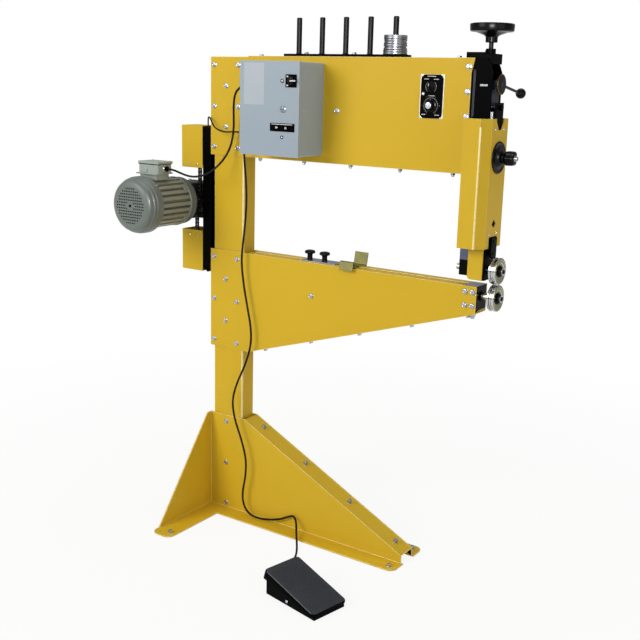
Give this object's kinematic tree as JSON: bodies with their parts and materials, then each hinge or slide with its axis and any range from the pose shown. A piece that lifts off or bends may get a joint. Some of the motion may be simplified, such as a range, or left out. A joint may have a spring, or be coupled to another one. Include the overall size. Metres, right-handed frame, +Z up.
{
  "type": "bead roller",
  "caption": "Floor-standing bead roller: deep throat between two arms, chain-driven roll pair, geared motor, control box, die rack and foot pedal.",
  "frame": {"origin": "middle of the column at the floor", "axes": "+X along the arms to the rolls, +Y to the machine's rear side, away from the control box, +Z up"},
  "size_m": [1.314, 0.8565, 1.716],
  "materials": {
    "yellow_paint": "satin powder coat",
    "black_paint": "satin black paint",
    "grey_paint": "light grey powder coat",
    "motor_paint": "grey machine enamel on cast aluminium",
    "zinc_bolts": "zinc plated",
    "ground_steel": "ground steel",
    "black_steel": "blackened steel",
    "polished_die": "hardened and polished",
    "chain_steel": "oiled chain steel",
    "black_plastic": "moulded black plastic",
    "drive_plastic": "moulded grey plastic",
    "passivated_zinc": "yellow passivated zinc",
    "cable_rubber": "black rubber sheath",
    "light_lens": "dark lamp lens"
  },
  "bodies": {
    "frame": {"column": "yellow_paint", "base_sheet_front": "yellow_paint", "base_sheet_rear": "yellow_paint", "base_bolts": "zinc_bolts", "upper_arm_front": "yellow_paint", "upper_arm_rear": "yellow_paint", "lower_arm_front": "yellow_paint", "lower_arm_rear": "yellow_paint", "arm_bolts": "zinc_bolts", "lower_bearing_block": "black_steel", "shaft_bearings": "black_steel", "drive_channel": "black_paint", "upper_chain_guard": "yellow_paint", "lower_chain_guard": "yellow_paint", "drive_chains": "chain_steel", "gearbox_housing": "motor_paint", "motor_body": "motor_paint", "motor_fan_cover": "motor_paint", "terminal_box": "motor_paint", "motor_cable": "cable_rubber", "head_housing": "black_paint", "head_cover": "yellow_paint", "head_chain": "chain_steel", "control_box": "grey_paint", "box_internals": "drive_plastic", "control_panel": "black_plastic", "die_rack": "black_steel", "guide_bracket": "passivated_zinc", "pedal_base": "black_plastic", "pedal_cable": "cable_rubber", "panel_cable": "cable_rubber", "cable_glands": "black_plastic"},
    "lower_spindle": {"lower_spindle": "ground_steel", "lower_sprocket": "chain_steel", "lower_roll": "polished_die"},
    "upper_shaft": {"upper_shaft": "ground_steel", "upper_sprockets": "chain_steel", "shaft_knob": "black_plastic"},
    "gearbox_output": {"gearbox_output": "chain_steel"},
    "motor_rotor": {"motor_fan": "black_plastic"},
    "handwheel": {"handwheel": "black_plastic", "adjusting_screw": "black_steel"},
    "adjuster": {"adjuster_block": "black_steel"},
    "lift_lever": {"lift_lever": "black_steel"},
    "roll_carrier": {"roll_carrier": "yellow_paint", "lift_plate": "black_paint"},
    "jackshaft": {"jackshaft": "chain_steel"},
    "upper_roll": {"upper_roll_shaft": "ground_steel", "upper_roll": "polished_die"},
    "box_door": {"control_box_door": "grey_paint", "door_fittings": "black_plastic"},
    "door_latch": {"door_latch": "ground_steel"},
    "isolator_switch": {"isolator_switch": "black_plastic"},
    "selector_knob": {"selector_knob": "black_plastic"},
    "speed_dial": {"speed_dial": "black_plastic"},
    "stored_dies": {"stored_dies": "polished_die"},
    "fence": {"fence_bar": "ground_steel"},
    "fence_knob_left": {"fence_knob_left": "black_plastic"},
    "fence_knob_right": {"fence_knob_right": "black_plastic"},
    "pedal_plate": {"pedal_plate": "black_plastic"}
  },
  "joints": [
    {"name": "lower_roll_spin", "type": "hinge", "parent": "frame", "child": "lower_spindle", "pos_m": [0.5, 0, 0.9181], "axis": [1, 0, 0], "continuous": true},
    {"name": "upper_shaft_spin", "type": "hinge", "parent": "frame", "child": "upper_shaft", "pos_m": [0.5, 0, 1.3245], "axis": [1, 0, 0], "continuous": true},
    {"name": "gearbox_output_spin", "type": "hinge", "parent": "frame", "child": "gearbox_output", "pos_m": [-0.14, 0, 1.1086], "axis": [1, 0, 0], "continuous": true},
    {"name": "motor_spin", "type": "hinge", "parent": "frame", "child": "motor_rotor", "pos_m": [-0.2, -0.25, 1.1086], "axis": [0, 1, 0], "continuous": true},
    {"name": "handwheel_turn", "type": "hinge", "parent": "frame", "child": "handwheel", "pos_m": [0.916, 0, 1.65], "axis": [0, 0, 1], "range_deg": [0, 1440.5]},
    {"name": "pressure_adjust", "type": "slide", "parent": "frame", "child": "adjuster", "axis": [0, 0, 1], "range_m": [0, 0.02], "deforming": ["head_chain"]},
    {"name": "carrier_lift", "type": "slide", "parent": "adjuster", "child": "roll_carrier", "axis": [0, 0, 1], "range_m": [0, 0.02], "deforming": ["head_chain"]},
    {"name": "lift_lever_swing", "type": "hinge", "parent": "adjuster", "child": "lift_lever", "pos_m": [0.9515, 0, 1.527], "axis": [1, 0, 0], "range_deg": [0, 60]},
    {"name": "jackshaft_spin", "type": "hinge", "parent": "roll_carrier", "child": "jackshaft", "pos_m": [0.92, 0, 1.03875], "axis": [1, 0, 0], "continuous": true},
    {"name": "upper_roll_spin", "type": "hinge", "parent": "roll_carrier", "child": "upper_roll", "pos_m": [0.92, 0, 0.99875], "axis": [1, 0, 0], "continuous": true},
    {"name": "box_door_swing", "type": "hinge", "parent": "frame", "child": "box_door", "pos_m": [0.1515, -0.16, 1.4375], "axis": [0, 0, -1], "range_deg": [0, 110]},
    {"name": "door_latch_turn", "type": "hinge", "parent": "box_door", "child": "door_latch", "pos_m": [0.324, -0.172, 1.438], "axis": [0, 1, 0], "range_deg": [0, 90]},
    {"name": "isolator_turn", "type": "hinge", "parent": "box_door", "child": "isolator_switch", "pos_m": [0.353, -0.172, 1.522], "axis": [0, -1, 0], "range_deg": [0, 90]},
    {"name": "direction_select", "type": "hinge", "parent": "frame", "child": "selector_knob", "pos_m": [0.755, -0.041, 1.516], "axis": [0, -1, 0], "range_deg": [-45, 45]},
    {"name": "speed_dial_turn", "type": "hinge", "parent": "frame", "child": "speed_dial", "pos_m": [0.757, -0.041, 1.463], "axis": [0, -1, 0], "range_deg": [0, 300]},
    {"name": "dies_lift_off", "type": "slide", "parent": "frame", "child": "stored_dies", "axis": [0, 0, 1], "range_m": [0, 0.12]},
    {"name": "fence_slide", "type": "slide", "parent": "frame", "child": "fence", "axis": [1, 0, 0], "range_m": [-0.18, 0.03]},
    {"name": "left_clamp_turn", "type": "hinge", "parent": "fence", "child": "fence_knob_left", "pos_m": [0.318, 0, 0.98], "axis": [0, 0, 1], "range_deg": [0, 360]},
    {"name": "right_clamp_turn", "type": "hinge", "parent": "fence", "child": "fence_knob_right", "pos_m": [0.376, 0, 0.98], "axis": [0, 0, 1], "range_deg": [0, 360]},
    {"name": "pedal_press", "type": "hinge", "parent": "frame", "child": "pedal_plate", "pos_m": [0.60659, -0.40817, 0.019], "axis": [-0.2079, -0.9781, 0], "range_deg": [0, 7], "stiffness_Nm_per_rad": 3, "springref_deg": -8.59}
  ],
  "couplings": [
    {"joint": "upper_shaft_spin", "follows": "lower_roll_spin", "ratio": 1},
    {"joint": "gearbox_output_spin", "follows": "lower_roll_spin", "ratio": 1},
    {"joint": "motor_spin", "follows": "lower_roll_spin", "ratio": 20},
    {"joint": "jackshaft_spin", "follows": "lower_roll_spin", "ratio": 1},
    {"joint": "upper_roll_spin", "follows": "lower_roll_spin", "ratio": -1},
    {"joint": "handwheel_turn", "follows": "pressure_adjust", "rad_per_m": 1256.6},
    {"joint": "lift_lever_swing", "follows": "carrier_lift", "rad_per_m": 52.36}
  ]
}
